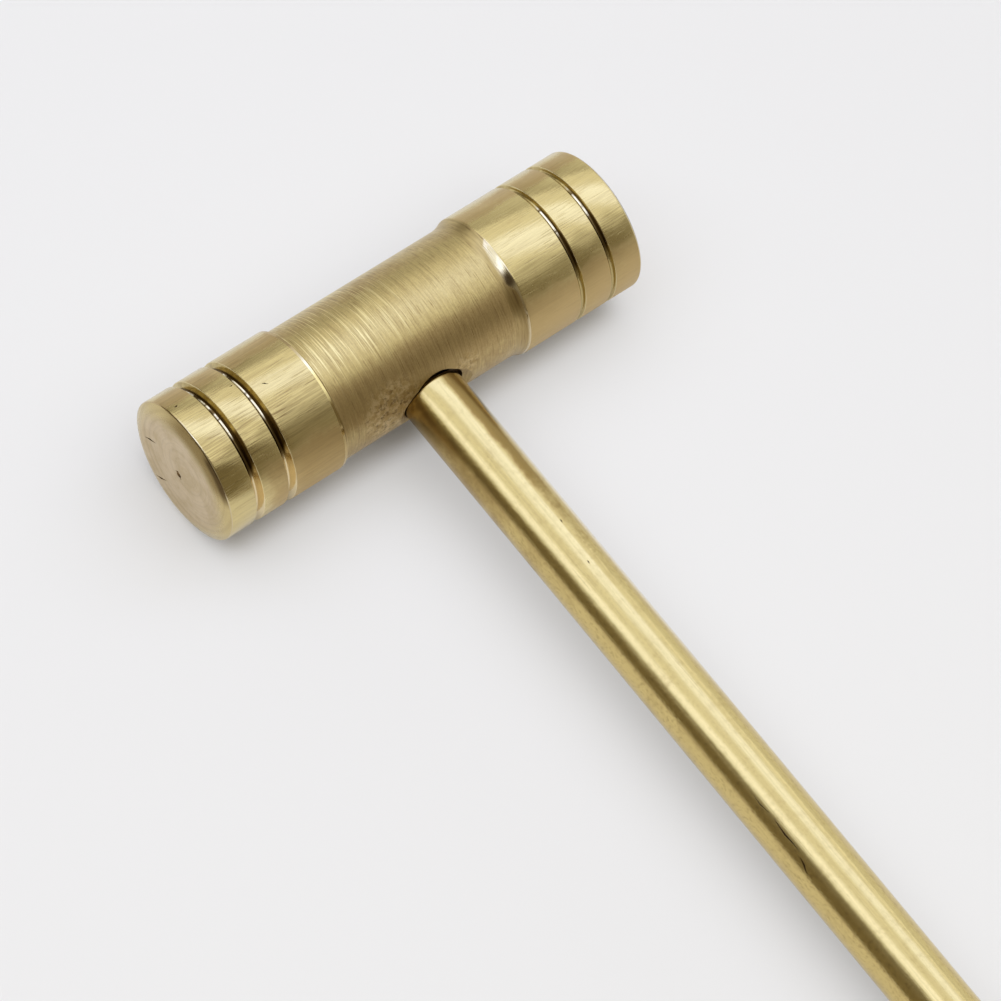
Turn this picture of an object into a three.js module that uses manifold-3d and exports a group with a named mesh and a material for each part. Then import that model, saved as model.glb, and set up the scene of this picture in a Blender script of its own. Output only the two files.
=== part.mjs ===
// Small all-brass hammer with two flat faces, as a watchmaker uses it.
// Two turned pieces: a banded head, and a plain rod handle screwed into its waist.
// Millimetres, +Z up. The tool lies on its side on a surface at z = 0: the head rests on its
// bands and the handle slopes down until the rim of its end touches the surface.
// The head's axis runs along X and the handle points towards -Y.

import * as THREE from 'three';
import { mergeVertices } from 'three/addons/utils/BufferGeometryUtils.js';
import Module from 'manifold-3d';

// Head, from a striking face to the middle
const headLength = 47.1;
const headDiameter = 14;
const faceBevelLength = 0.6;
const faceBevelWidth = 2;
const capBandLength = 2.75;
const middleBandLength = 2.75;
const wideBandLength = 5.6;
const grooveWidth = 0.75;
const grooveDepth = 0.5;

// Waist between the two wide bands: a tight corner at the left, a long run-out at the right
const waistDiameter = 13.2;
const leftCornerRadius = 0.35;
const rightRunOutRadius = 2.2;

// Handle
const handleDiameter = 6;
const handleReach = 165;
const handleEndChamfer = 0.5;
const shoulderChamfer = 0.3;

// Joint between the two: a threaded tenon in a tapped blind hole, with the shoulder in a counterbore
const tenonDiameter = 4;
const tenonLength = 8;
const tenonChamfer = 0.6;
const shoulderDistance = 5.7;
const shoulderGap = 0.3;
const boreGap = 0.35;
const threadGap = 0.3;
const tapRunOut = 1;
const countersinkWidth = 0.8;
const countersinkAngle = THREE.MathUtils.degToRad(120);
const drillPointAngle = THREE.MathUtils.degToRad(118);

// Facets, the distance within which two points are one, and how far a cutter runs past the head
const headSegments = 80;
const rodSegments = 64;
const arcSteps = 3;
const weldDistance = 1e-4;
const cutterOverrun = 1;

// Sizes that follow from the ones above
const headRadius = headDiameter / 2;
const waistRadius = waistDiameter / 2;
const handleRadius = handleDiameter / 2;
const tenonRadius = tenonDiameter / 2;
const waistStep = headRadius - waistRadius;
const boreRadius = handleRadius + boreGap;
const tapRadius = tenonRadius + threadGap;
const faceX = headLength / 2;
const bandStartX = faceX - faceBevelLength;

// The handle's tilt, at which the rim of its end touches the surface that the head lies on
const touchReach = handleReach - handleEndChamfer;
const tilt =
  Math.asin(headRadius / Math.hypot(touchReach, handleRadius)) - Math.atan2(handleRadius, touchReach);

// The head's axis is set so that the middle of the whole outline is at y = 0
const endRimRadius = handleRadius - handleEndChamfer;
const frontY = -handleReach * Math.cos(tilt) - endRimRadius * Math.sin(tilt);
const headAxisY = -(headRadius + frontY) / 2;

// Points of a circular arc, ends included, as (radius from the axis, place along the axis)
function arcPoints(centreRadius, centreAlong, arcRadius, startAngle, endAngle, steps) {
  const points = [];
  for (let i = 0; i <= steps; i += 1) {
    const angle = startAngle + ((endAngle - startAngle) * i) / steps;
    const radius = centreRadius + arcRadius * Math.cos(angle);
    const along = centreAlong + arcRadius * Math.sin(angle);
    points.push(new THREE.Vector2(radius, along));
  }
  return points;
}

// The rounded bevel round a striking face: tangent to the face, and a crisp edge at the band
function faceBevel() {
  const length = faceBevelLength;
  const width = faceBevelWidth;
  const radius = (width * width + length * length) / (2 * length);
  const sweep = Math.atan2(width, radius - length);
  return arcPoints(
    headRadius - width, faceX - radius, radius, Math.PI / 2, Math.PI / 2 - sweep, arcSteps);
}

// A groove with a round bottom and short straight walls, from its outer lip to its inner lip
function groove(outerLipX) {
  const bottomRadius = Math.min(grooveWidth / 2, grooveDepth);
  const centreX = outerLipX - grooveWidth / 2;
  const centreRadius = headRadius - grooveDepth + bottomRadius;
  const halfFlat = grooveWidth / 2 - bottomRadius;
  const outer = arcPoints(
    centreRadius, centreX + halfFlat, bottomRadius, Math.PI / 2, Math.PI, arcSteps);
  const inner = arcPoints(
    centreRadius, centreX - halfFlat, bottomRadius, Math.PI, (3 * Math.PI) / 2, arcSteps);
  return [
    new THREE.Vector2(headRadius, outerLipX),
    ...outer,
    ...inner,
    new THREE.Vector2(headRadius, outerLipX - grooveWidth),
  ];
}

// A hollow corner from the edge of a wide band down to the waist
function shoulder(edgeX, cornerRadius) {
  const drop = Math.min(cornerRadius, waistStep);
  const run = Math.sqrt(2 * cornerRadius * drop - drop * drop);
  const centreRadius = waistRadius + cornerRadius;
  const startAngle = Math.PI - Math.asin(run / cornerRadius);
  return [
    new THREE.Vector2(headRadius, edgeX),
    ...arcPoints(centreRadius, edgeX - run, cornerRadius, startAngle, Math.PI, arcSteps),
  ];
}

// Outline of one half of the head, from the middle of its striking face to its shoulder
function headHalfOutline(cornerRadius) {
  const outerGrooveX = bandStartX - capBandLength;
  const innerGrooveX = outerGrooveX - grooveWidth - middleBandLength;
  const shoulderX = innerGrooveX - grooveWidth - wideBandLength;
  return [
    new THREE.Vector2(0, faceX),
    ...faceBevel(),
    ...groove(outerGrooveX),
    ...groove(innerGrooveX),
    ...shoulder(shoulderX, cornerRadius),
  ];
}

// Neighbouring points that fall together are one point
function withoutRepeats(points) {
  return points.filter((point, i) => i === 0 || point.distanceTo(points[i - 1]) > weldDistance);
}

// A turned solid whose axis, +Y in the lathe, is laid along a given direction
function turned(points, segments, direction) {
  const geometry = new THREE.LatheGeometry(withoutRepeats(points), segments);
  const laid = new THREE.Quaternion().setFromUnitVectors(new THREE.Vector3(0, 1, 0), direction);
  return geometry.applyQuaternion(laid);
}

const wasm = await Module();
wasm.setup();

function toSolid(geometry) {
  const bare = geometry.clone();
  bare.deleteAttribute('normal');
  bare.deleteAttribute('uv');
  const welded = mergeVertices(bare, weldDistance);
  const mesh = new wasm.Mesh({
    numProp: 3,
    vertProperties: new Float32Array(welded.attributes.position.array),
    triVerts: new Uint32Array(welded.index.array),
  });
  return new wasm.Manifold(mesh);
}

function toGeometry(solid) {
  const mesh = solid.getMesh();
  const geometry = new THREE.BufferGeometry();
  geometry.setAttribute('position', new THREE.BufferAttribute(mesh.vertProperties, 3));
  geometry.setIndex(new THREE.BufferAttribute(mesh.triVerts, 1));
  geometry.computeVertexNormals();
  return geometry;
}

// What the drill, the counterbore and the countersink take out of the waist.
// Places are distances from the head's axis along the handle.
function jointCavity() {
  const seat = shoulderDistance - shoulderGap;
  const tapEnd = shoulderDistance - tenonLength - tapRunOut;
  const drillPoint = tapEnd - tapRadius / Math.tan(drillPointAngle / 2);
  const countersinkSlope = Math.tan(countersinkAngle / 2);
  const mouth = waistRadius - countersinkWidth / countersinkSlope;
  const outside = headRadius + cutterOverrun;
  const outsideRadius = boreRadius + (outside - mouth) * countersinkSlope;
  return [
    new THREE.Vector2(0, drillPoint),
    new THREE.Vector2(tapRadius, tapEnd),
    new THREE.Vector2(tapRadius, seat),
    new THREE.Vector2(boreRadius, seat),
    new THREE.Vector2(boreRadius, mouth),
    new THREE.Vector2(outsideRadius, outside),
    new THREE.Vector2(0, outside),
  ];
}

const handleDirection = new THREE.Vector3(0, -1, 0);
const headDirection = new THREE.Vector3(1, 0, 0);
const tiltTurn = new THREE.Euler(tilt, 0, 0);

function makeHead() {
  const left = headHalfOutline(leftCornerRadius).map((p) => new THREE.Vector2(p.x, -p.y));
  const right = headHalfOutline(rightRunOutRadius).reverse();
  const bar = turned([...left, ...right], headSegments, headDirection);
  const cavity = turned(jointCavity(), rodSegments, handleDirection);
  cavity.applyQuaternion(new THREE.Quaternion().setFromEuler(tiltTurn));
  const geometry = toGeometry(toSolid(bar).subtract(toSolid(cavity)));
  const brass = new THREE.MeshStandardMaterial({ color: 0xc9b673, metalness: 1, roughness: 0.34 });
  const head = new THREE.Mesh(geometry, brass);
  head.name = 'hammer_head';
  return head;
}

// Outline of the rod from the tip of its tenon to its free end
function makeHandle() {
  const tenonTip = shoulderDistance - tenonLength;
  const outline = [
    new THREE.Vector2(0, tenonTip),
    new THREE.Vector2(tenonRadius - tenonChamfer, tenonTip),
    new THREE.Vector2(tenonRadius, tenonTip + tenonChamfer),
    new THREE.Vector2(tenonRadius, shoulderDistance),
    new THREE.Vector2(handleRadius - shoulderChamfer, shoulderDistance),
    new THREE.Vector2(handleRadius, shoulderDistance + shoulderChamfer),
    new THREE.Vector2(handleRadius, handleReach - handleEndChamfer),
    new THREE.Vector2(endRimRadius, handleReach),
    new THREE.Vector2(0, handleReach),
  ];
  const geometry = turned(outline, rodSegments, handleDirection);
  const brass = new THREE.MeshStandardMaterial({ color: 0xd2bf72, metalness: 1, roughness: 0.26 });
  const handle = new THREE.Mesh(geometry, brass);
  handle.name = 'handle';
  handle.rotation.copy(tiltTurn);
  return handle;
}

const hammer = new THREE.Group();
hammer.name = 'hammer';
hammer.position.set(0, headAxisY, headRadius);
hammer.add(makeHead(), makeHandle());
hammer.updateMatrixWorld(true);

export default hammer;
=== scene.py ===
# %% [markdown]
# A small all-brass hammer of the kind a watchmaker uses: a turned head with bright bands and a satin
# waist, and a drawn rod as its handle. This lesson builds it from bmesh operators, so every shape starts
# as a short outline or a ready-made form and is spun, extruded, cut and bevelled into the real one.

# %% Tools and the measured frame
import math

import bmesh
import bpy
from mathutils import Matrix, Quaternion, Vector


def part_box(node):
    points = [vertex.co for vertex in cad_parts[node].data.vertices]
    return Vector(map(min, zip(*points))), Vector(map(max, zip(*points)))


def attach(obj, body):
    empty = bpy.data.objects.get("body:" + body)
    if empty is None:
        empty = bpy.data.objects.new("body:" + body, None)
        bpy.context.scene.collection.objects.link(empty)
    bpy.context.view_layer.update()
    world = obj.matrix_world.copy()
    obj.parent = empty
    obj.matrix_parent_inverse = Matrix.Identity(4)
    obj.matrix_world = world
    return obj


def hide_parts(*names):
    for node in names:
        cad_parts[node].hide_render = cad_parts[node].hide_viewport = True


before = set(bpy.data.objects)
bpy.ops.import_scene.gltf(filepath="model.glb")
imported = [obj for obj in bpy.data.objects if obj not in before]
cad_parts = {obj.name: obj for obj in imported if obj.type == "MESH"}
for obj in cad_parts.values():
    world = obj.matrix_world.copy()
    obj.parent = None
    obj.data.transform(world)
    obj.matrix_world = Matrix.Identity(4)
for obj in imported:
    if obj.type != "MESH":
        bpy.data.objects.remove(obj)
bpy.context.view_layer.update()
mm = 0.001

# %% [markdown]
# The frame gives the real sizes that matter for fitting: how long and thick the head is, and where its
# axis lies. They are read from it instead of being typed again, so the looks can't drift away from it.

# %% Where the head lies
head_low, head_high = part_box("hammer_head")
head_radius = (head_high.z - head_low.z) / 2
face_x = head_high.x
head_centre = (head_low + head_high) / 2
print("head axis in mm:", [round(value / mm, 3) for value in head_centre])

# %% [markdown]
# The camera stands where the photographer stood: high up, on the side of the left striking face, with a
# long lens. It is given by the point that it looks at, two angles, a distance and a slight roll, because
# these can be read and changed one by one, which a matrix of numbers can't.

# %% The camera
camera_aim = Vector((-1.78, 60.93, 7)) * mm
camera_azimuth = math.radians(-49.72)
camera_elevation = math.radians(60.81)
camera_distance = 478.55 * mm
camera_roll = math.radians(13.33)
camera_lens = 196.02
sensor_width = 36

camera_data = bpy.data.cameras.new("camera")
camera_data.sensor_width = sensor_width
camera_data.lens = camera_lens
camera = bpy.data.objects.new("camera", camera_data)
bpy.context.scene.collection.objects.link(camera)
bpy.context.scene.camera = camera
backwards = Vector((
    math.sin(camera_azimuth) * math.cos(camera_elevation),
    -math.cos(camera_azimuth) * math.cos(camera_elevation),
    math.sin(camera_elevation)))
camera.location = camera_aim + backwards * camera_distance
camera.rotation_mode = "QUATERNION"
camera.rotation_quaternion = (-backwards).to_track_quat("-Z", "Y") @ Quaternion((0, 0, 1), camera_roll)
print("camera in mm:", [round(value / mm, 1) for value in camera.location])

# %% [markdown]
# Metal shows its surroundings, so the studio is built for its reflections: a broad soft panel overhead,
# two cooler strips in it that draw the twin highlights along the rod, a small patch that brightens the
# top of the head, and a world that is bright low down on the picture's right and dim and warm towards
# the viewer, which gives the dark stripe. The floor gets most of its light from a wider panel that metal
# doesn't mirror, so its shadow is soft on both sides.

# %% The studio's directions and a helper for soft boxes
studio_turn = math.radians(-38)
picture_right = Vector((math.cos(studio_turn), math.sin(studio_turn), 0))
picture_away = Vector((-math.sin(studio_turn), math.cos(studio_turn), 0))


def soft_box(name, right, away, height, width, depth, level, mirrored=True, lights_floor=True):
    """An area light that faces down, placed along the picture's own directions. level is its radiance."""
    data = bpy.data.lights.new(name, "AREA")
    data.shape = "RECTANGLE"
    data.size = width
    data.size_y = depth
    data.color = level
    data.energy = math.pi * width * depth
    light = bpy.data.objects.new(name, data)
    light.location = picture_right * right + picture_away * away + Vector((0, 0, height))
    light.rotation_euler = (0, 0, studio_turn)
    light.visible_glossy = mirrored
    light.visible_diffuse = lights_floor
    bpy.context.scene.collection.objects.link(light)


print("picture's right and away:", picture_right.to_tuple(3), picture_away.to_tuple(3))

# %% Soft boxes
panel_height = 250 * mm
strip_height = panel_height - 2 * mm
patch_height = panel_height - 4 * mm
fill_height = 450 * mm
panel_level = (0.80, 0.83, 0.86)
corner_level = (0.44, 0.46, 0.47)
strip_level = (0.33, 0.42, 0.78)
front_strip_level = (0.45, 0.53, 0.86)
patch_level = (0.16, 0.20, 0.34)
far_level = (0.15, 0.16, 0.17)
fill_level = (1.06, 1.055, 1.05)

# The broad panel shows in the metal only, and the fill lights the floor only
soft_box(
    "overhead_panel", -75 * mm, 255 * mm, panel_height, 810 * mm, 390 * mm, panel_level,
    lights_floor=False)
soft_box("near_panel", -185 * mm, -1 * mm, panel_height, 590 * mm, 122 * mm, panel_level)
soft_box("corner_panel", 220 * mm, 0, panel_height, 220 * mm, 120 * mm, corner_level)
soft_box("far_panel", -150 * mm, 540 * mm, panel_height, 500 * mm, 180 * mm, far_level)
soft_box("back_strip", -75 * mm, 165 * mm, strip_height, 550 * mm, 120 * mm, strip_level)
soft_box("front_strip", -185 * mm, -8 * mm, strip_height, 330 * mm, 60 * mm, front_strip_level)
soft_box("head_patch", 20 * mm, 215 * mm, patch_height, 90 * mm, 60 * mm, patch_level)
soft_box("floor_fill", -20 * mm, 60 * mm, fill_height, 1000 * mm, 800 * mm, fill_level, mirrored=False)
print("soft boxes:", len(bpy.data.lights))

# %% [markdown]
# The world and every finish are made of shader nodes. A few short helpers add a node and link it, so a
# material reads as a list of steps. The most used one, a soft ramp, turns a place or a noise into a mask.

# %% Node helpers
def node(tree, kind, settings=None, **inputs):
    """Adds a shader node, sets its settings, and fills or links its inputs by name."""
    made = tree.nodes.new("ShaderNode" + kind)
    for name, value in (settings or {}).items():
        setattr(made, name, value)
    for name, value in inputs.items():
        feed(tree, made.inputs[name.replace("_", " ")], value)
    return made


def feed(tree, socket, value):
    """Links a socket to another, or sets it to a plain value."""
    if isinstance(value, bpy.types.NodeSocket):
        tree.links.new(value, socket)
    else:
        socket.default_value = value


def maths(tree, operation, first, second=0.0):
    made = tree.nodes.new("ShaderNodeMath")
    made.operation = operation
    feed(tree, made.inputs[0], first)
    feed(tree, made.inputs[1], second)
    return made.outputs[0]


def vector_maths(tree, operation, *values):
    made = node(tree, "VectorMath", {"operation": operation})
    for socket, value in zip(made.inputs, values):
        feed(tree, socket, value)
    return made.outputs


def times(tree, first, second):
    return maths(tree, "MULTIPLY", first, second)


def plus(tree, first, second):
    return maths(tree, "ADD", first, second)


def minus(tree, first, second):
    return maths(tree, "SUBTRACT", first, second)


def larger(tree, first, second):
    return maths(tree, "MAXIMUM", first, second)


def ramp(tree, value, start, end, low=0.0, high=1.0):
    """Turns a value between start and end into one between low and high, with soft ends."""
    made = node(
        tree, "MapRange", {"interpolation_type": "SMOOTHSTEP"},
        Value=value, From_Min=start, From_Max=end, To_Min=low, To_Max=high)
    return made.outputs["Result"]


def blend(tree, mask, first, second):
    """Mixes two colours by a mask."""
    made = tree.nodes.new("ShaderNodeMix")
    made.data_type = "RGBA"
    feed(tree, made.inputs[0], mask)
    feed(tree, made.inputs[6], first)
    feed(tree, made.inputs[7], second)
    return made.outputs[2]


# %% [markdown]
# The world changes with direction only, and is the same for every ray. The direction towards its bright
# side, and the height above the horizon, are turned into two soft masks, whose product mixes a dim warm
# colour with a pale one.

# %% The world
bright_azimuth = math.radians(107)
bright_direction = (math.sin(bright_azimuth), -math.cos(bright_azimuth), 0)
dim_side = (0.22, 0.185, 0.12, 1)
bright_side = (0.88, 0.88, 0.82, 1)
world = bpy.data.worlds.new("studio")
bpy.context.scene.world = world
world.use_nodes = True
tree = world.node_tree
tree.nodes.clear()
direction = node(tree, "TexCoord").outputs["Generated"]
toward = vector_maths(tree, "DOT_PRODUCT", direction, bright_direction)["Value"]
sideways = ramp(tree, toward, 0.1, 1.0)
rise = node(tree, "SeparateXYZ", Vector=direction).outputs["Z"]
low_down = ramp(tree, rise, 0.32, 0.58, 1.0, 0.0)
sky = blend(tree, times(tree, sideways, low_down), dim_side, bright_side)
background = node(tree, "Background", Color=sky)
node(tree, "OutputWorld", Surface=background.outputs["Background"])
bpy.context.scene.view_settings.view_transform = "Standard"
print("world nodes:", len(tree.nodes))

# %% [markdown]
# A lathe part needs only half of its outline. Straight edges come from extruding the last vertex, and
# round ones from spinning it about the centre of the arc, so there are no typed lists of points. The
# sharp corners are then rounded a little, as a real turned edge is, and catch the light. The lathe is a
# spin too: it takes the outline all the way round the axis.

# %% Outline tools: X runs along the part's axis, and Y is the distance from it
weld_distance = 0.0002 * mm


def first_point(bm, along, radius):
    return bmesh.ops.create_vert(bm, co=(along, radius, 0))["vert"][0]


def line_to(bm, vert, along, radius):
    """Extrudes the outline's last vertex to a new place."""
    made = bmesh.ops.extrude_vert_indiv(bm, verts=[vert])["verts"][0]
    made.co = (along, radius, 0)
    return made


def arc_to(bm, vert, centre_along, centre_radius, angle, steps):
    """Spins the outline's last vertex about a centre, which leaves an arc behind it."""
    made = bmesh.ops.spin(
        bm, geom=[vert], cent=(centre_along, centre_radius, 0), axis=(0, 0, 1),
        angle=angle, steps=steps)
    return made["geom_last"][0]


def round_corners(bm, corners, size):
    """Rounds chosen corners of the outline."""
    bmesh.ops.bevel(
        bm, geom=corners, offset=size, segments=3, profile=0.5, affect="VERTICES", material=-1)


def lathe(bm, steps):
    """Spins the outline all the way round the X axis and closes its seam and its poles."""
    bmesh.ops.spin(
        bm, geom=bm.verts[:] + bm.edges[:], cent=(0, 0, 0), axis=(1, 0, 0),
        angle=math.tau, steps=steps, use_merge=True)
    bmesh.ops.remove_doubles(bm, verts=bm.verts, dist=weld_distance)
    bmesh.ops.recalc_face_normals(bm, faces=bm.faces)


# %% A mesh becomes a piece, and one piece cuts another
def piece_from(bm, name):
    """Turns a finished bmesh into an object of the scene."""
    mesh = bpy.data.meshes.new(name)
    bm.to_mesh(mesh)
    bm.free()
    piece = bpy.data.objects.new(name, mesh)
    bpy.context.scene.collection.objects.link(piece)
    return piece


def cut_away(piece, cutter):
    """Cuts one solid out of another and deletes the cutter."""
    cut = piece.modifiers.new("cut", "BOOLEAN")
    cut.operation = "DIFFERENCE"
    cut.solver = "EXACT"
    cut.object = cutter
    evaluated = piece.evaluated_get(bpy.context.evaluated_depsgraph_get())
    mesh = bpy.data.meshes.new_from_object(evaluated)
    piece.modifiers.remove(cut)
    piece.data = mesh
    bpy.data.objects.remove(cutter)


# %% [markdown]
# The head is one brass bar, turned on a lathe. Both halves have the same bands. They differ in the hollow
# corner between the wide band and the waist, which is tight at the left and long and soft at the right,
# and in the width of the grooves. So one function draws a half, and the left half is drawn first and
# mirrored by a scale of -1 along the axis. A pip in the middle of each face is the centre mark.

# %% Sizes of the head
bevel_length = 0.6 * mm
bevel_width = 2 * mm
cap_band = 2.75 * mm
middle_band = 2.75 * mm
wide_band = 5.6 * mm
groove_width = 0.75 * mm
left_groove = 0.92 * mm
right_groove = 0.60 * mm
groove_angle = math.radians(45)
groove_tip = 0.22 * mm
waist_radius = 6.6 * mm
left_corner = 0.35 * mm
right_run_out = 3.4 * mm
lip_round = 0.05 * mm
edge_round = 0.14 * mm
left_edge_round = 0.24 * mm
pip_radius = 0.3 * mm
pip_depth = 0.34 * mm

# How many facets each round form gets
head_steps = 360
bevel_steps = 14
tip_steps = 10
corner_steps = 12
waist_rings = 12

# Places along the axis: the middles of the grooves, and the inner edge of the wide band
bevel_x = face_x - bevel_length
outer_groove_x = bevel_x - cap_band - groove_width / 2
inner_groove_x = outer_groove_x - groove_width - middle_band
shoulder_x = inner_groove_x - groove_width / 2 - wide_band
places = (bevel_x, outer_groove_x, inner_groove_x, shoulder_x)
print("bevel, grooves and shoulder in mm:", [round(place / mm, 3) for place in places])

# %% The outline of half the head
def groove_outline(bm, vert, centre_x, width):
    """Draws a V groove with a rounded tip, from its outer lip inwards. Returns its end and both lips."""
    lean = groove_angle / 2
    wall_run = width / 2 - groove_tip * math.cos(lean)
    wall_end = head_radius - wall_run / math.tan(lean)
    tip_centre = wall_end + groove_tip * math.sin(lean)
    outer_lip = line_to(bm, vert, centre_x + width / 2, head_radius)
    vert = line_to(bm, outer_lip, centre_x + width / 2 - wall_run, wall_end)
    vert = arc_to(bm, vert, centre_x, tip_centre, groove_angle - math.pi, tip_steps)
    inner_lip = line_to(bm, vert, centre_x - width / 2, head_radius)
    return inner_lip, [outer_lip, inner_lip]


def shoulder_outline(bm, vert, edge_x, corner):
    """Draws the hollow corner from the edge of the wide band down to the waist."""
    drop = min(corner, head_radius - waist_radius)
    run = math.sqrt(2 * corner * drop - drop * drop)
    edge = line_to(bm, vert, edge_x, head_radius)
    vert = edge
    if corner < head_radius - waist_radius:
        vert = line_to(bm, vert, edge_x, waist_radius + corner)
    sweep = -math.asin(run / corner)
    vert = arc_to(bm, vert, edge_x - run, waist_radius + corner, sweep, corner_steps)
    return vert, edge


def half_outline(bm, corner, groove, shoulder_edge_round):
    """Draws from the middle of a striking face to the middle of the waist."""
    bevel_radius = (bevel_width ** 2 + bevel_length ** 2) / (2 * bevel_length)
    bevel_sweep = math.atan2(bevel_width, bevel_radius - bevel_length)
    bevel_start = head_radius - bevel_width
    vert = first_point(bm, face_x - pip_depth, 0)
    vert = line_to(bm, vert, face_x, pip_radius)
    vert = line_to(bm, vert, face_x, bevel_start)
    crisp = arc_to(bm, vert, face_x - bevel_radius, bevel_start, bevel_sweep, bevel_steps)
    vert, lips = groove_outline(bm, crisp, outer_groove_x, groove)
    vert, more_lips = groove_outline(bm, vert, inner_groove_x, groove)
    vert, edge = shoulder_outline(bm, vert, shoulder_x, corner)
    start_x = vert.co.x
    for ring in range(1, waist_rings + 1):
        vert = line_to(bm, vert, start_x * (1 - ring / waist_rings), waist_radius)
    round_corners(bm, [*lips, *more_lips], lip_round)
    round_corners(bm, [crisp], edge_round)
    round_corners(bm, [edge], shoulder_edge_round)


# %% The head's bar
bm = bmesh.new()
half_outline(bm, left_corner, left_groove, left_edge_round)
bmesh.ops.scale(bm, vec=(-1, 1, 1), verts=bm.verts)
half_outline(bm, right_run_out, right_groove, edge_round)
bmesh.ops.remove_doubles(bm, verts=bm.verts, dist=weld_distance)
lathe(bm, head_steps)
bmesh.ops.translate(bm, vec=head_centre, verts=bm.verts)
head = piece_from(bm, "turned_head")
print("head faces:", len(head.data.polygons))

# %% [markdown]
# The handle is screwed into a blind hole in the waist. The hole is drilled, tapped, counterbored for the
# rod's shoulder and lightly countersunk, so its cutter is a lathe part too. It is turned to point along
# the handle, which slopes because the head is thicker than the rod and both rest on the surface. The
# thread is left out: its tenon and its hole are plain, with a small gap between them.

# %% Sizes of the handle and the joint, as distances from the head's axis along the handle
handle_radius = 3 * mm
handle_reach = 165 * mm
handle_end_chamfer = 0.5 * mm
shoulder_distance = 5.7 * mm
shoulder_round = 0.6 * mm
rod_offset = 0.13 * mm
tenon_radius = 2 * mm
tenon_length = 8 * mm
tenon_chamfer = 0.6 * mm
bore_gap = 0.2 * mm
seat_gap = 0.3 * mm
thread_gap = 0.3 * mm
tap_run_out = 1 * mm
cutter_overrun = 1 * mm
countersink_width = 0.8 * mm
countersink_slope = math.tan(math.radians(60))
drill_slope = math.tan(math.radians(59))

# Places and radii that follow from them
bore_radius = handle_radius + bore_gap
bore_seat = shoulder_distance - seat_gap
tap_radius = tenon_radius + thread_gap
tap_end = shoulder_distance - tenon_length - tap_run_out
drill_point = tap_end - tap_radius / drill_slope
touch_reach = handle_reach - handle_end_chamfer
tilt = math.asin(head_radius / math.hypot(touch_reach, handle_radius))
tilt -= math.atan2(handle_radius, touch_reach)
along_handle = Matrix.Translation(head_centre) @ Matrix.Rotation(tilt, 4, "X")
along_handle @= Matrix.Rotation(-math.pi / 2, 4, "Z")
print("tilt in degrees:", round(math.degrees(tilt), 3))

# %% The joint's cavity
rod_steps = 192
bm = bmesh.new()
mouth = waist_radius - countersink_width / countersink_slope
outside = head_radius + cutter_overrun
vert = first_point(bm, drill_point, 0)
vert = line_to(bm, vert, tap_end, tap_radius)
vert = line_to(bm, vert, bore_seat, tap_radius)
vert = line_to(bm, vert, bore_seat, bore_radius)
vert = line_to(bm, vert, mouth, bore_radius)
vert = line_to(bm, vert, outside, bore_radius + (outside - mouth) * countersink_slope)
vert = line_to(bm, vert, outside, 0)
lathe(bm, rod_steps)
bmesh.ops.transform(bm, matrix=along_handle, verts=bm.verts)
cut_away(head, piece_from(bm, "cavity"))
print("head faces after the cut:", len(head.data.polygons))

# %% [markdown]
# The rod is drawn bar with its end turned down to a tenon. Its shoulder has a soft rim, which is the
# bright edge at the hole, and its free end a small chamfer. Rings along it keep its facets short.

# %% The rod
rod_rings = 80
rim_steps = 8
tenon_tip = shoulder_distance - tenon_length
bm = bmesh.new()
vert = first_point(bm, tenon_tip, 0)
vert = line_to(bm, vert, tenon_tip, tenon_radius - tenon_chamfer)
vert = line_to(bm, vert, tenon_tip + tenon_chamfer, tenon_radius)
vert = line_to(bm, vert, shoulder_distance, tenon_radius)
vert = line_to(bm, vert, shoulder_distance, handle_radius - shoulder_round)
vert = arc_to(
    bm, vert, shoulder_distance + shoulder_round, handle_radius - shoulder_round, -math.pi / 2,
    rim_steps)
rod_from = vert.co.x
for ring in range(1, rod_rings + 1):
    vert = line_to(bm, vert, rod_from + (touch_reach - rod_from) * ring / rod_rings, handle_radius)
rim = line_to(bm, vert, handle_reach, handle_radius - handle_end_chamfer)
line_to(bm, rim, handle_reach, 0)
lathe(bm, rod_steps)
bmesh.ops.transform(bm, matrix=along_handle, verts=bm.verts)
bmesh.ops.translate(bm, vec=(-rod_offset, 0, 0), verts=bm.verts)
rod = piece_from(bm, "drawn_rod")
print("rod faces:", len(rod.data.polygons))

# %% [markdown]
# Facets would show in a mirror finish, so the shading runs smoothly across every gentle bend. Where two
# faces meet at more than 28 degrees the real part has an edge, and the shading breaks there.

# %% Shading
sharp_angle = math.radians(28)


def shade(piece):
    bm = bmesh.new()
    bm.from_mesh(piece.data)
    for face in bm.faces:
        face.smooth = True
    for edge in bm.edges:
        edge.smooth = len(edge.link_faces) == 2 and edge.calc_face_angle() < sharp_angle
    print(piece.name, "sharp edges:", sum(not edge.smooth for edge in bm.edges))
    bm.to_mesh(piece.data)
    bm.free()


shade(head)
shade(rod)

# %% [markdown]
# The brass is one metal with several finishes. Drawn bar has fine lines along it, and a turned waist has
# them round it. Both are a noise stretched in one direction, so one node group makes the lines, and each
# material stretches the coordinates its own way before they reach the group. A second group makes the
# blotches of tarnish on the bands, the waist and the rod. Where they are placed low on the sides, they are
# tarnish and painted shade together.

# %% Helpers for node groups
socket_kinds = {name: "NodeSocketVector" for name in ("Vector", "Centre", "Size")}
socket_kinds["Color"] = "NodeSocketColor"


def new_group(name, output, **inputs):
    """Makes a node group with one output. Each input has its usual value. Returns it and its inputs."""
    group = bpy.data.node_groups.new(name, "ShaderNodeTree")
    for label, value in inputs.items():
        kind = socket_kinds.get(label, "NodeSocketFloat")
        socket = group.interface.new_socket(label, in_out="INPUT", socket_type=kind)
        if value is not None:
            socket.default_value = value
    kind = socket_kinds.get(output, "NodeSocketFloat")
    group.interface.new_socket(output, in_out="OUTPUT", socket_type=kind)
    return group, group.nodes.new("NodeGroupInput").outputs


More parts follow.
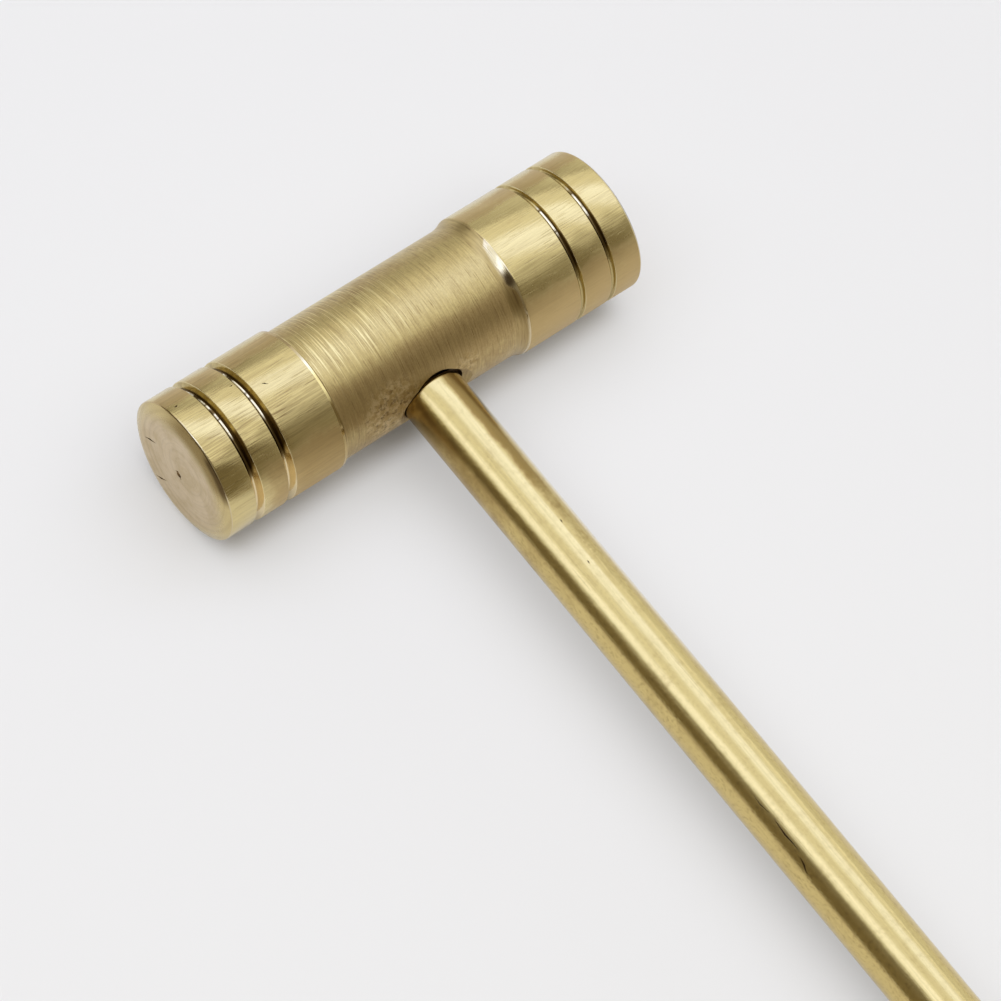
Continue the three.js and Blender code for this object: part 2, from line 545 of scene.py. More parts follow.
def use_group(tree, group, **inputs):
    """Places a node group in a material and fills or links its inputs by name."""
    made = tree.nodes.new("ShaderNodeGroup")
    made.node_tree = group
    for name, value in inputs.items():
        feed(tree, made.inputs[name], value)
    return made.outputs


def close_group(group, value):
    """Feeds the group's output and says how large the group is."""
    feed(group, group.nodes.new("NodeGroupOutput").inputs[0], value)
    print(group.name, "nodes:", len(group.nodes))


def noise(tree, vector, scale, detail=2.0, roughness=0.5):
    made = node(tree, "TexNoise", Vector=vector, Scale=scale, Detail=detail, Roughness=roughness)
    return made.outputs["Fac"]


# %% Fine lines: a height, lowered where one of the few deeper scores runs
lines_group, given = new_group("fine_lines", "Height", Vector=None, Density=4.0)
vector, density = given["Vector"], given["Density"]
broad = noise(lines_group, vector, density, 2.0)
fine = noise(lines_group, vector, times(lines_group, density, 2.7), 3.0, 0.6)
rare = noise(lines_group, vector, times(lines_group, density, 1.6), 1.0)
scores = ramp(lines_group, rare, 0.63, 0.73)
height = plus(lines_group, times(lines_group, broad, 0.6), times(lines_group, fine, 0.4))
height = minus(lines_group, height, times(lines_group, scores, 0.35))
close_group(lines_group, height)

# %% Tarnish and painted shade: soft brown blotches, more where the amount is high, with finer mottling
tarnish_and_shade_group, given = new_group("tarnish_and_shade", "Mask", Vector=None, Amount=0.5)
cloud = noise(tarnish_and_shade_group, given["Vector"], 0.35, 3.0)
mottle = noise(tarnish_and_shade_group, given["Vector"], 2.2, 4.0, 0.6)
both = plus(tarnish_and_shade_group, cloud, times(tarnish_and_shade_group, mottle, 0.7))
lifted = plus(tarnish_and_shade_group, both, given["Amount"])
close_group(tarnish_and_shade_group, ramp(tarnish_and_shade_group, lifted, 0.85, 1.75))

# %% [markdown]
# A finish starts from the piece's own coordinates in millimetres, measured from the head's axis, with the
# handle's slope taken out for the rod. Everything after that is in real millimetres, so a density of 4
# means about four lines a millimetre on every piece. On the head X runs along the bar, Y points away
# from the handle and Z up, so a ramp on one of them is a mask of where on the metal a spot lies.

# %% A brass material and its coordinates
clean_brass = (0.70, 0.58, 0.28, 1)
dull_brass = (0.47, 0.34, 0.15, 1)
brown_brass = (0.20, 0.12, 0.05, 1)
underside_shade_brass = (0.12, 0.08, 0.04, 1)


def brass(name, slope=0.0):
    """Makes a metal material, and returns it with its node tree and coordinates in millimetres."""
    material = bpy.data.materials.new(name)
    material.use_nodes = True
    tree = material.node_tree
    tree.nodes["Principled BSDF"].inputs["Metallic"].default_value = 1
    place = node(tree, "Mapping", {"vector_type": "TEXTURE"})
    feed(tree, place.inputs["Vector"], node(tree, "TexCoord").outputs["Object"])
    place.inputs["Location"].default_value = head_centre
    place.inputs["Rotation"].default_value = (slope, 0, 0)
    place.inputs["Scale"].default_value = (mm, mm, mm)
    return material, tree, place.outputs["Vector"]


def finished(material, tone, roughness, height, depth):
    """Feeds the shader. The bump bends the shading as if a height of 1 stood that deep, in metres."""
    tree = material.node_tree
    shader = tree.nodes["Principled BSDF"]
    bump = node(tree, "Bump", Height=height, Strength=1.0, Distance=depth)
    feed(tree, shader.inputs["Base Color"], tone)
    feed(tree, shader.inputs["Roughness"], roughness)
    feed(tree, shader.inputs["Normal"], bump.outputs["Normal"])
    print(material.name, "nodes:", len(tree.nodes))
    return material


def stretched(tree, vector, scale):
    return node(tree, "Mapping", Vector=vector, Scale=scale).outputs["Vector"]


def axis_value(tree, vector, axis):
    return node(tree, "SeparateXYZ", Vector=vector).outputs[axis]


# %% Distances
def vector_length(tree, vector):
    return vector_maths(tree, "LENGTH", vector)["Value"]


def from_axis(tree, vector, centre=(0, 0, 0)):
    """The distance from a line along X through a point."""
    to_centre = [-value for value in centre]
    return vector_length(tree, vector_maths(tree, "MULTIPLY_ADD", vector, (0, 1, 1), to_centre)["Vector"])


# %% [markdown]
# Three more effects are shared: painted shade in the valleys of a height, a soft oval patch that places a
# stain or a painted dark spot, and painted shade on the underside that the tool rests on.

# %% Painted shade in valleys: a colour, browner where a height is low and unchanged on its ridges
valley_shade_group, given = new_group("painted_valley_shade", "Color", Color=None, Height=0.5, Share=0.5)
valley = ramp(valley_shade_group, given["Height"], 0.65, 0.2, 0.0, given["Share"])
close_group(valley_shade_group, blend(valley_shade_group, valley, given["Color"], brown_brass))


def shaded_by(tree, tone, height, share):
    return use_group(tree, valley_shade_group, Color=tone, Height=height, Share=share)["Color"]


# %% A soft oval patch round a point: 1 in its middle, and 0 from its own size away
patch_group, given = new_group("oval_patch", "Mask", Vector=None, Centre=None, Size=None)
offset = vector_maths(patch_group, "SUBTRACT", given["Vector"], given["Centre"])["Vector"]
share = vector_maths(patch_group, "DIVIDE", offset, given["Size"])["Vector"]
away = vector_length(patch_group, share)
close_group(patch_group, ramp(patch_group, away, 0.3, 1.0, 1.0, 0.0))


def patch(tree, vector, centre, size):
    return use_group(tree, patch_group, Vector=vector, Centre=centre, Size=size)["Mask"]


# %% Painted shade underneath: a colour that darkens from one height down to another
underside_shade_group, given = new_group(
    "painted_underside_shade", "Color", Color=None, Vector=None, Top=-2.0, Bottom=-5.0)
up = axis_value(underside_shade_group, given["Vector"], "Z")
below = ramp(underside_shade_group, up, given["Top"], given["Bottom"], 0.0, 0.9)
close_group(underside_shade_group, blend(underside_shade_group, below, given["Color"], underside_shade_brass))


def shade_below(tree, tone, vector, top, bottom):
    return use_group(tree, underside_shade_group, Color=tone, Vector=vector, Top=top, Bottom=bottom)["Color"]


# %% [markdown]
# The bands are bare drawn bar: fine straight lines run along the head. Low on both sides they are darker
# and duller, which is tarnish and painted shade together. The lines could be cut, but they are only about
# a hundredth of a millimetre deep, so a stretched noise bends the shading and paints shade into their
# valleys. They are strongest at the left, on the side of the handle.

# %% The drawn bands
def band_material():
    material, tree, vector = brass("brass_band")
    along = axis_value(tree, vector, "X")
    across = axis_value(tree, vector, "Y")
    # Tarnish and painted shade, low on the near side and on the far side
    near_side = times(tree, ramp(tree, across, -4.4, -6.2), ramp(tree, along, -21.5, -15.5, 0.0, 0.95))
    far_side = times(tree, ramp(tree, across, 2.8, 3.8, 0.0, 0.8), ramp(tree, across, 5.8, 4.7))
    low_down = larger(tree, near_side, far_side)
    tarnish_and_shade = use_group(tree, tarnish_and_shade_group, Vector=vector, Amount=low_down)["Mask"]
    lines = use_group(tree, lines_group, Vector=stretched(tree, vector, (0.03, 1, 1)), Density=7.5)
    line_share = ramp(tree, along, -12.0, 12.0, 0.42, 0.22)
    line_share = times(tree, line_share, ramp(tree, across, -0.6, -1.8, 1.0, 1.75))
    line_share = times(tree, line_share, ramp(tree, across, -4.0, -5.4, 1.0, 0.4))
    tone = blend(tree, tarnish_and_shade, clean_brass, (0.58, 0.43, 0.195, 1))
    tone = shaded_by(tree, tone, lines["Height"], line_share)
    # Painted shade underneath
    tone = shade_below(tree, tone, vector, -2.0, -5.0)

    # Duller by the waist at the left, and low on the near side of every band but the leftmost
    by_waist = times(tree, ramp(tree, along, -17.0, -14.5), ramp(tree, along, 0.0, -1.0))
    by_waist = times(tree, by_waist, ramp(tree, across, -1.0, -2.6, 0.0, 0.2))
    lower = times(tree, ramp(tree, across, -3.4, -4.6, 0.0, 0.12), ramp(tree, along, -20.2, -19.4))
    roughness = ramp(tree, tarnish_and_shade, 0.0, 1.0, 0.15, 0.36)
    roughness = plus(tree, roughness, larger(tree, by_waist, lower))
    return finished(material, tone, roughness, lines["Height"], 0.012 * mm)


band_brass = band_material()

# %% [markdown]
# The waist was turned thinner, so its lines run round it, and the tool left a few ridges, which a painted
# highlight lightens, most at the left. Low on both sides it gets tarnish and painted shade, as the bands
# do.
# Beside the hole is a pale crust with brown pits in it. An image of it would have to be wrapped round the
# bar, so two soft oval patches place it instead, and noise makes its edge ragged.

# %% The stain by the joint
def joint_stain(tree, vector):
    """The pale crust on both sides of the hole, the brown pits in it, and the crust's colour."""
    left = patch(tree, vector, (-4.9, -6.0, 1.8), (5.0, 3.2, 4.8))
    right = patch(tree, vector, (3.5, -6.2, 2.0), (2.2, 1.8, 2.0))
    near = larger(tree, left, times(tree, right, 0.7))
    broken = noise(tree, vector, 1.5, 4.0, 0.7)
    ragged = ramp(tree, times(tree, near, plus(tree, broken, 0.5)), 0.1, 1.1)
    specks = ramp(tree, noise(tree, vector, 2.3, 4.0, 0.6), 0.5, 0.68, 0.0, 0.9)
    crust = blend(tree, ramp(tree, broken, 0.42, 0.6), (0.50, 0.35, 0.14, 1), (0.70, 0.55, 0.30, 1))
    return times(tree, ragged, 0.8), times(tree, ragged, specks), crust


# %% The satin waist
def waist_material():
    material, tree, vector = brass("brass_waist")
    across = axis_value(tree, vector, "Y")
    fine = use_group(tree, lines_group, Vector=stretched(tree, vector, (1, 0.05, 0.05)), Density=6.5)
    ridges_and_highlights = ramp(tree, noise(tree, stretched(tree, vector, (1, 0.022, 0.022)), 10.0, 1.0), 0.55, 0.67)
    leftness = ramp(tree, axis_value(tree, vector, "X"), 4.0, -4.0, 0.15, 1.0)
    upper = ramp(tree, across, -3.6, -0.6, 0.15, 1.0)
    ridges_and_highlights = times(tree, ridges_and_highlights, times(tree, leftness, upper))
    grain = noise(tree, vector, 6.0, 3.0, 0.7)
    # Tarnish and painted shade, low on the near side and on the far side
    near_side = times(tree, ramp(tree, across, -2.0, -4.4), ramp(tree, across, -6.4, -5.4, 0.6, 1.0))
    far_side = times(tree, ramp(tree, across, 2.8, 3.8, 0.0, 0.5), ramp(tree, across, 5.8, 4.7))
    low_down = larger(tree, near_side, far_side)
    tarnish_and_shade = use_group(tree, tarnish_and_shade_group, Vector=vector, Amount=low_down)["Mask"]
    tone = blend(tree, tarnish_and_shade, (0.64, 0.515, 0.235, 1), (0.50, 0.365, 0.16, 1))
    tone = shaded_by(tree, tone, fine["Height"], 0.5)
    tone = shaded_by(tree, tone, grain, 0.25)
    # Painted highlight: the ridges are lightened, most at the left
    tone = blend(tree, times(tree, ridges_and_highlights, 0.7), tone, (0.92, 0.80, 0.42, 1))
    stain, spots, crust = joint_stain(tree, vector)
    tone = blend(tree, stain, tone, crust)
    tone = blend(tree, spots, tone, (0.24, 0.155, 0.06, 1))
    # Painted shade underneath
    tone = shade_below(tree, tone, vector, -2.0, -5.0)
    roughness = ramp(tree, plus(tree, tarnish_and_shade, stain), 0.0, 1.5, 0.3, 0.5)
    height = plus(tree, times(tree, fine["Height"], 0.7), times(tree, grain, 0.35))
    height = plus(tree, height, times(tree, ridges_and_highlights, 0.2))
    height = minus(tree, height, times(tree, spots, 0.8))
    return finished(material, tone, roughness, height, 0.03 * mm)


waist_brass = waist_material()

# %% [markdown]
# The striking faces are matt and a little pink, with faint arcs about a point beside the middle, as a
# facing cut leaves them. The arcs are a noise with one dimension, fed with the distance from that point.
# The bevel round a face is smoother and darker along its upper edge, and painted shade draws a thin dark
# line at its edge on the side of the handle.

# %% The striking faces
def face_material():
    material, tree, vector = brass("brass_face")
    turning = from_axis(tree, vector, (0, -0.8, 1.6))
    arcs = node(tree, "TexNoise", {"noise_dimensions": "1D"}, W=turning, Scale=2.4, Detail=3.0)
    arcs = arcs.outputs["Fac"]
    grain = noise(tree, vector, 3.0, 4.0, 0.6)
    cloud = noise(tree, vector, 0.5, 3.0)
    tone = blend(tree, ramp(tree, cloud, 0.35, 0.65), (0.70, 0.58, 0.40, 1), (0.62, 0.50, 0.31, 1))
    reach = from_axis(tree, vector)
    rim = ramp(tree, reach, 4.9, 6.5)
    tone = blend(tree, rim, tone, (0.60, 0.48, 0.23, 1))
    across = axis_value(tree, vector, "Y")
    upper = ramp(tree, axis_value(tree, vector, "Z"), 2.5, 4.5)
    # Darker along the upper edge of the bevel
    upper_edge_dark = times(tree, ramp(tree, across, 4.2, 0.5), upper)
    upper_edge_dark = times(tree, upper_edge_dark, ramp(tree, reach, 5.1, 6.3))
    tone = blend(tree, upper_edge_dark, tone, (0.29, 0.21, 0.085, 1))
    # Painted shade: a thin dark line along the edge on the side of the handle
    dark_line = times(tree, ramp(tree, across, -1.8, -3.2), upper)
    dark_line = times(tree, dark_line, ramp(tree, reach, 6.3, 6.7))
    tone = blend(tree, dark_line, tone, (0.10, 0.065, 0.025, 1))
    tone = shaded_by(tree, tone, arcs, 0.15)
    roughness = ramp(tree, grain, 0.3, 0.7, 0.44, 0.56)
    roughness = minus(tree, roughness, times(tree, rim, 0.28))
    height = plus(tree, arcs, times(tree, grain, 0.7))
    return finished(material, tone, roughness, height, 0.025 * mm)


face_brass = face_material()

# %% [markdown]
# The edges beside the waist are cut clean, and a painted highlight makes them paler, while the hollows
# under them are plain turned metal. Both are one material, because the distance from the axis tells an
# edge from a hollow. At the left the edge is a thin yellow painted highlight with a line of painted shade
# beside it. At the right it is a crescent that fades on the far side and ends in a spot of painted shade
# on the side of the handle.

# %% The shoulders
def shoulder_material():
    material, tree, vector = brass("brass_shoulder")
    along = axis_value(tree, vector, "X")
    across = axis_value(tree, vector, "Y")
    lines = use_group(tree, lines_group, Vector=stretched(tree, vector, (1, 0.06, 0.06)), Density=5.5)
    leftness = times(tree, ramp(tree, along, 1.0, -1.0), ramp(tree, along, -19.0, -18.0))
    # Painted highlight: the edge is paler than the brass, and a spot of painted shade ends the crescent
    edge = shaded_by(tree, (0.88, 0.80, 0.58, 1), lines["Height"], 0.3)
    spot_shade = patch(tree, vector, (9.8, -3.2, 6.1), (0.9, 1.3, 1.0))
    edge = blend(tree, times(tree, spot_shade, 0.85), edge, (0.10, 0.06, 0.03, 1))
    # Painted highlight: a thin yellow line along the left edge
    left_highlight = times(tree, leftness, ramp(tree, across, 0.0, -1.5))
    edge = blend(tree, left_highlight, edge, (0.93, 0.80, 0.40, 1))
    low_left = times(tree, ramp(tree, across, -3.0, -4.6, 0.0, 0.85), leftness)
    low_down = larger(tree, ramp(tree, across, -3.6, -5.5, 0.0, 0.5), low_left)
    edge = blend(tree, low_down, edge, dull_brass)
    edge = blend(tree, ramp(tree, across, -0.6, 2.4, 0.0, 0.85), edge, dull_brass)

    # The edge is narrower near the handle and on the far side, and gone where the crescent fades
    reach = minus(tree, from_axis(tree, vector), ramp(tree, across, -3.2, -4.4, 0.0, 0.2))
    reach = minus(tree, reach, ramp(tree, across, -1.4, 0.6, 0.0, 0.07))
    fading = times(tree, ramp(tree, across, 0.4, 1.6, 0.0, 0.3), ramp(tree, along, -1.0, 1.0))
    edge_only = ramp(tree, minus(tree, reach, fading), 6.65, 6.76)
    hollow = blend(tree, ramp(tree, across, -2.0, -4.4), (0.56, 0.44, 0.2, 1), (0.47, 0.35, 0.155, 1))
    # Painted shade in the hollow corner beside the left edge
    corner_shade = times(tree, leftness, ramp(tree, across, -1.0, -2.4, 0.0, 0.8))
    hollow = blend(tree, corner_shade, hollow, (0.24, 0.17, 0.07, 1))
    hollow = shaded_by(tree, hollow, lines["Height"], 0.6)
    tone = blend(tree, edge_only, hollow, edge)
    roughness = ramp(tree, edge_only, 0.0, 1.0, 0.34, 0.14)
    return finished(material, tone, roughness, lines["Height"], 0.01 * mm)


shoulder_brass = shoulder_material()

# %% [markdown]
# A groove gets painted shade in its depth and on the side that the light misses, and a painted highlight
# along its tip, broken up by a noise. Its lips get a painted highlight, paler than the bands. Light alone
# wouldn't show this in a groove half a millimetre wide, so the colour follows the depth.

# %% The grooves
def groove_material():
    material, tree, vector = brass("brass_groove")
    along = axis_value(tree, vector, "X")
    across = axis_value(tree, vector, "Y")
    reach = from_axis(tree, vector)
    cloud = noise(tree, vector, 1.3, 3.0)
    breaks = noise(tree, stretched(tree, vector, (0.1, 1, 1)), 0.9, 3.0)
    from_bottom = minus(tree, reach, ramp(tree, along, -1.0, 1.0, 6.244, 6.63))
    wall = blend(tree, ramp(tree, cloud, 0.35, 0.65), (0.58, 0.47, 0.21, 1), (0.42, 0.32, 0.13, 1))
    # Painted shade on the side that the light misses
    shaded_side = times(tree, ramp(tree, across, -1.4, -2.4, 0.0, 0.75), ramp(tree, across, -5.3, -4.5))
    wall = blend(tree, shaded_side, wall, (0.13, 0.08, 0.035, 1))
    # Painted shade in the depth, where it can be seen
    depth = ramp(tree, along, -1.0, 1.0, 0.16, 0.08)
    depth_shade = ramp(tree, minus(tree, from_bottom, depth), 0.12, 0.0)
    shown = larger(tree, ramp(tree, across, 1.6, 0.4), ramp(tree, along, 1.0, -1.0))
    tone = blend(tree, times(tree, depth_shade, shown), wall, (0.14, 0.095, 0.04, 1))
    # Painted highlight along the tip, broken up by a noise
    bright = times(tree, ramp(tree, across, -2.4, -1.5), ramp(tree, breaks, 0.4, 0.5))
    bright = times(tree, bright, shown)
    tip_highlight = times(tree, ramp(tree, from_bottom, 0.04, 0.02), bright)
    tone = blend(tree, tip_highlight, tone, (0.92, 0.86, 0.68, 1))
    low_tone = blend(tree, ramp(tree, along, -1.0, 1.0), (0.80, 0.66, 0.40, 1), (0.48, 0.38, 0.17, 1))
    tone = blend(tree, ramp(tree, across, -4.6, -5.4, 0.0, 0.9), tone, low_tone)
    # Painted highlight on the lips
    tone = blend(tree, ramp(tree, reach, 6.93, 6.97), tone, (0.84, 0.74, 0.46, 1))
    return finished(material, tone, ramp(tree, cloud, 0.3, 0.7, 0.12, 0.2), cloud, 0.01 * mm)


groove_brass = groove_material()

# %% [markdown]
# The hole, the marks in the metal and the tips of the centre marks are never wiped, so they hold dark
# grime, and their dark colour is painted shade in their depth as well. It is rough and has no lines,
# because nothing rubs it, so one noise gives colour, gloss and bump.

# %% Grime and painted shade in the hole and in the marks
def bore_material():
    material, tree, vector = brass("brass_bore")
    grime_and_shade = noise(tree, vector, 2.0, 4.0, 0.6)
    tone = blend(tree, ramp(tree, grime_and_shade, 0.35, 0.65), (0.22, 0.14, 0.06, 1), (0.10, 0.06, 0.03, 1))
    return finished(material, tone, ramp(tree, grime_and_shade, 0.3, 0.7, 0.4, 0.6), grime_and_shade, 0.02 * mm)


bore_brass = bore_material()

# %% [markdown]
# The rod is drawn as well, and worn by the hand: it is duller and speckled along its two sides. Near the
# head and underneath it gets tarnish with painted shade, a painted pale reflection runs along its upper
# edge on the far side near the head, and painted shade darkens its underside. Long soft waves in it bend
# its highlights. Its coordinates are turned by the handle's slope, so X runs across it and Y along it.

# %% The drawn rod
def rod_material():
    material, tree, vector = brass("brass_rod", tilt)
    lines = use_group(tree, lines_group, Vector=stretched(tree, vector, (1, 0.02, 1)), Density=5.0)
    across = axis_value(tree, vector, "X")
    along = axis_value(tree, vector, "Y")
    up = axis_value(tree, vector, "Z")
    # Tarnish and painted shade on both sides near the head, and underneath
    far_side = times(tree, ramp(tree, across, 0.1, 0.9, 0.0, 1.1), ramp(tree, across, 1.9, 1.45))
    near_side = times(tree, ramp(tree, across, -2.1, -2.6), 0.75)
    sides = times(tree, larger(tree, far_side, near_side), ramp(tree, along, -36.0, -8.0))
    amount = larger(tree, sides, ramp(tree, up, 0.5, -2.5, 0.0, 0.5))
    tarnish_and_shade = use_group(tree, tarnish_and_shade_group, Vector=vector, Amount=amount)["Mask"]
    rubbed = larger(tree, ramp(tree, across, 0.8, 1.8, 0.0, 0.6), ramp(tree, across, -1.8, -2.3))
    specks = noise(tree, stretched(tree, vector, (1, 0.5, 1)), 4.5, 4.0, 0.7)
    mottle = ramp(tree, noise(tree, vector, 0.9, 4.0), 0.5, 0.75, 0.0, 0.16)
    tone = blend(tree, times(tree, rubbed, 0.8), clean_brass, (0.66, 0.51, 0.20, 1))
    tone = blend(tree, larger(tree, tarnish_and_shade, mottle), tone, (0.36, 0.25, 0.09, 1))
    # Painted reflection: a pale sheen along the upper edge on the far side, near the head
    edge_sheen = times(tree, ramp(tree, across, 1.8, 2.3), ramp(tree, along, -50.0, -30.0))
    edge_sheen = times(tree, edge_sheen, ramp(tree, up, 0.8, 1.1))
    tone = blend(tree, edge_sheen, tone, (0.85, 0.77, 0.58, 1))
    tone = shaded_by(tree, tone, lines["Height"], 0.14)
    speckled = times(tree, ramp(tree, specks, 0.52, 0.64), ramp(tree, rubbed, 0.0, 1.0, 0.12, 0.5))
    tone = blend(tree, speckled, tone, (0.34, 0.24, 0.09, 1))
    # Painted shade underneath
    tone = shade_below(tree, tone, vector, -1.0, -2.4)
    waves = noise(tree, vector, 0.3, 2.0)
    height = plus(tree, lines["Height"], times(tree, waves, 5.0))
    rough_skin = times(tree, specks, ramp(tree, rubbed, 0.0, 1.0, 0.3, 3.0))
    height = plus(tree, height, rough_skin)
    roughness = ramp(tree, tarnish_and_shade, 0.0, 1.0, 0.17, 0.26)
    return finished(material, tone, roughness, height, 0.005 * mm)


rod_brass = rod_material()

# %% [markdown]
# Each face of the head gets its material by where it lies: how far along the bar, and how far from its
# axis. This is done after the hole is cut, so the new walls of the hole are sorted too. The rounded edges
# round the striking faces share the bright finish of the shoulders.

# %% Which face gets which finish
finishes = [band_brass, waist_brass, face_brass, shoulder_brass, groove_brass, bore_brass]
BAND, WAIST, FACE, SHOULDER, GROOVE, BORE = range(6)
into_handle = along_handle.inverted()

# How far past a wall a facet's middle may lie, and how much of the left edge's rounding is an edge
bore_slack = 1.001
waist_slack = 0.01 * mm
left_edge_share = 0.85


def finish_of(face):
    """Sorts a face of the head by where its middle lies."""
    centre = face.calc_center_median()
    along = abs(centre.x)
    radius = math.hypot(centre.y - head_centre.y, centre.z - head_centre.z)
    in_handle = into_handle @ centre
    beside_handle = math.hypot(in_handle.y, in_handle.z)
    if beside_handle < bore_radius * bore_slack and in_handle.x > drill_point - lip_round:
        return BORE
    if along > face_x - pip_depth - lip_round and radius < pip_radius:
        return BORE
    if abs(along - bevel_x) < edge_round and radius > head_radius - edge_round / 2:
        return SHOULDER if along > bevel_x - edge_round / 2 else BAND
    if along > bevel_x:
        return FACE
    groove = left_groove if centre.x < 0 else right_groove
    for middle in (outer_groove_x, inner_groove_x):
        if abs(along - middle) < groove / 2 and radius < head_radius - lip_round / 6:
            return GROOVE
    band_start = left_edge_round * left_edge_share if centre.x < 0 else -lip_round / 2
    if along > shoulder_x + band_start:
        return BAND
    return SHOULDER if radius > waist_radius + waist_slack else WAIST


# %% The finishes on the head and the rod
bm = bmesh.new()
bm.from_mesh(head.data)
for face in bm.faces:
    face.material_index = finish_of(face)
counts = [sum(face.material_index == index for face in bm.faces) for index in range(len(finishes))]
head.data.materials.clear()
bm.to_mesh(head.data)
bm.free()
for finish in finishes:
    head.data.materials.append(finish)
rod.data.materials.append(rod_brass)
print("faces by finish:", dict(zip([finish.name for finish in finishes], counts)))

# %% [markdown]
# Small dents and scratches are cut, so they catch the light from every side. Each is a thin wedge along a
# few points of the surface. It narrows at its ends and its width wanders, as a real scratch does, and the
# same function makes them all. The walls of a mark get the dark finish of the hole.

# %% A wedge that cuts a mark
def wedge(bm, path, width, depth):
    """Adds a wedge along a path of (point, outward direction) pairs, with its edge under the surface."""
    rings = []
    for i, (point, outward) in enumerate(path):
        ahead = path[min(i + 1, len(path) - 1)][0] - path[max(i - 1, 0)][0]
        sideways = outward.cross(ahead).normalized()
        taper = 0.3 if i in (0, len(path) - 1) else 0.8 + 0.25 * math.sin(2 * i)
        reach = sideways * width * taper
        above = point + outward * depth
        corners = (above - reach, above + reach, point - outward * depth * taper)
        rings.append([bmesh.ops.create_vert(bm, co=corner)["vert"][0] for corner in corners])
    for first, second in zip(rings, rings[1:]):
        bmesh.ops.contextual_create(bm, geom=[first[0], first[1], second[1], second[0]])
        bmesh.ops.contextual_create(bm, geom=[first[1], first[2], second[2], second[1]])
        bmesh.ops.contextual_create(bm, geom=[first[2], first[0], second[0], second[2]])
    bmesh.ops.contextual_create(bm, geom=rings[0])
    bmesh.ops.contextual_create(bm, geom=rings[-1])


# %% Points on a surface, each with its outward direction: lengths in millimetres, angles in degrees
def on_left_face(across, up):
    point = Vector((-face_x, head_centre.y + across * mm, head_centre.z + up * mm))
    return point, Vector((-1, 0, 0))


def outward_at(angle):
    return Vector((0, math.cos(math.radians(angle)), math.sin(math.radians(angle))))


def on_band(along, angle):
    outward = outward_at(angle)
    return head_centre + Vector((along * mm, 0, 0)) + outward * head_radius, outward


def on_rod(along, angle):
    outward = outward_at(angle)
    point = along_handle @ (Vector((along * mm, 0, 0)) + outward * handle_radius)
    turned = (along_handle.to_3x3() @ outward).normalized()
    return point - Vector((rod_offset, 0, 0)), turned


# %% The marks: three on the left face, three on the bands and five on the rod
def cut_marks(piece, marks):
    """Cuts every mark with one tool. Each has a path, half a width and a depth, in millimetres."""
    bm = bmesh.new()
    for path, width, depth in marks:
        wedge(bm, path, width * mm, depth * mm)
    bmesh.ops.recalc_face_normals(bm, faces=bm.faces)
    cutter = piece_from(bm, "marks")
    cutter.data.materials.append(bore_brass)
    cut_away(piece, cutter)
    shade(piece)
    print(piece.name, "marks:", len(marks), "faces:", len(piece.data.polygons))


cut_marks(head, [
    ([on_left_face(4.94, -0.5), on_left_face(4.2, 0.1), on_left_face(3.44, 0.55)], 0.2, 0.12),
    ([on_left_face(2.99, -4.41), on_left_face(2.2, -3.95), on_left_face(1.48, -3.34)], 0.2, 0.12),
    ([on_left_face(0.45, 0.1), on_left_face(0.2, 0.25), on_left_face(-0.1, 0.0), on_left_face(-0.35, -0.4)],
     0.34, 0.2),
    ([on_band(-22.3, 64), on_band(-22.1, 64.6), on_band(-21.9, 64)], 0.22, 0.14),
    ([on_band(-14.9, 87), on_band(-14.65, 88), on_band(-14.4, 90)], 0.12, 0.08),
    ([on_band(-17.3, 75), on_band(-17.1, 75.5), on_band(-16.9, 75)], 0.12, 0.08),
])
rod.data.materials.append(bore_brass)
cut_marks(rod, [
    ([on_rod(53.4, 126.9), on_rod(54.4, 128.6), on_rod(55.6, 125.5)], 0.09, 0.05),
    ([on_rod(56.1, 125.5), on_rod(57.8, 128.9), on_rod(59.0, 127.6), on_rod(59.8, 128.0)], 0.16, 0.1),
    ([on_rod(60.1, 133.4), on_rod(60.9, 137.3), on_rod(61.4, 141.9), on_rod(61.9, 142.3)], 0.18, 0.12),
    ([on_rod(23.3, 80), on_rod(23.5, 80.5), on_rod(23.7, 81)], 0.12, 0.08),
    ([on_rod(27.8, 90), on_rod(28.0, 90.5), on_rod(28.2, 91)], 0.12, 0.08),
])

# %% [markdown]
# The floor is a wide plain sheet. Two fifths of what the camera and the metal see of it by the hammer is
# a steady pale glow, and more further out, which keeps it even. The rest is lit by the studio, which
# keeps the shadows. Under the head there is hardly any glow, so that its contact shadow stays deep.

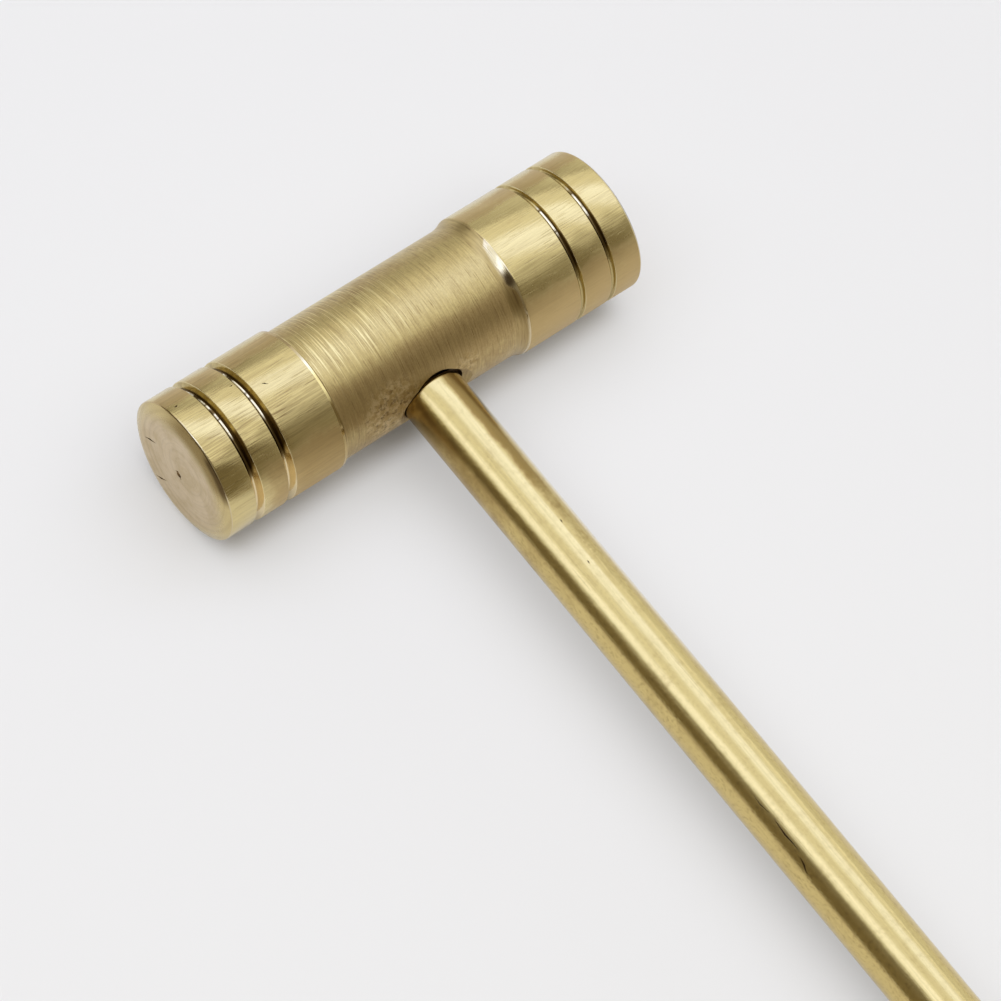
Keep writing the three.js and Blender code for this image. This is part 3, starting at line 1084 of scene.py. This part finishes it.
# %% The sheet, twenty metres wide
floor_size = 20
bm = bmesh.new()
bmesh.ops.create_grid(bm, x_segments=1, y_segments=1, size=floor_size / 2)
floor = piece_from(bm, "floor")
print("floor faces:", len(floor.data.polygons))

# %% The floor's material
near_glow = 0.40
far_glow = 0.8
glow_starts = 200 * mm
glow_ends = 900 * mm
floor_colour = (0.83, 0.83, 0.832, 1)
floor_material = bpy.data.materials.new("pale_floor")
floor_material.use_nodes = True
tree = floor_material.node_tree
floor_shader = tree.nodes["Principled BSDF"]
floor_shader.inputs["Base Color"].default_value = floor_colour
floor_shader.inputs["Roughness"].default_value = 0.9
floor_shader.inputs["Specular IOR Level"].default_value = 0

# Only rays from the camera and off the metal see the glow
ray = node(tree, "LightPath").outputs
mirrored = larger(tree, ray["Is Glossy Ray"], ray["Is Transmission Ray"])
seen = larger(tree, ray["Is Camera Ray"], mirrored)

# How much of the floor is glow: more far out, and hardly any under the head
place = node(tree, "TexCoord").outputs["Object"]
away = vector_length(tree, place)
glow_share = ramp(tree, away, glow_starts, glow_ends, near_glow, far_glow)
from_head = minus(tree, axis_value(tree, place, "Y"), head_centre.y)
from_head = maths(tree, "ABSOLUTE", from_head)
from_middle = maths(tree, "ABSOLUTE", axis_value(tree, place, "X"))
under_head = ramp(tree, from_head, 5 * mm, 8 * mm, 0.9, 0.0)
under_head = times(tree, under_head, ramp(tree, from_middle, 20 * mm, 24 * mm, 1.0, 0.0))
glow_share = times(tree, glow_share, minus(tree, 1.0, under_head))
glow = node(tree, "Emission", Color=floor_colour)
lit = tree.nodes.new("ShaderNodeMixShader")
feed(tree, lit.inputs[0], times(tree, seen, glow_share))
feed(tree, lit.inputs[1], floor_shader.outputs["BSDF"])
feed(tree, lit.inputs[2], glow.outputs["Emission"])
feed(tree, tree.nodes["Material Output"].inputs["Surface"], lit.outputs["Shader"])
floor.data.materials.append(floor_material)
print("floor nodes:", len(tree.nodes))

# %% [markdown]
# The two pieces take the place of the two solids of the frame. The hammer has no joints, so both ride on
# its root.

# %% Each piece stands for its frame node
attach(head, "root")
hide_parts("hammer_head")
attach(rod, "root")
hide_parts("handle")
print("pieces:", head.name, rod.name)
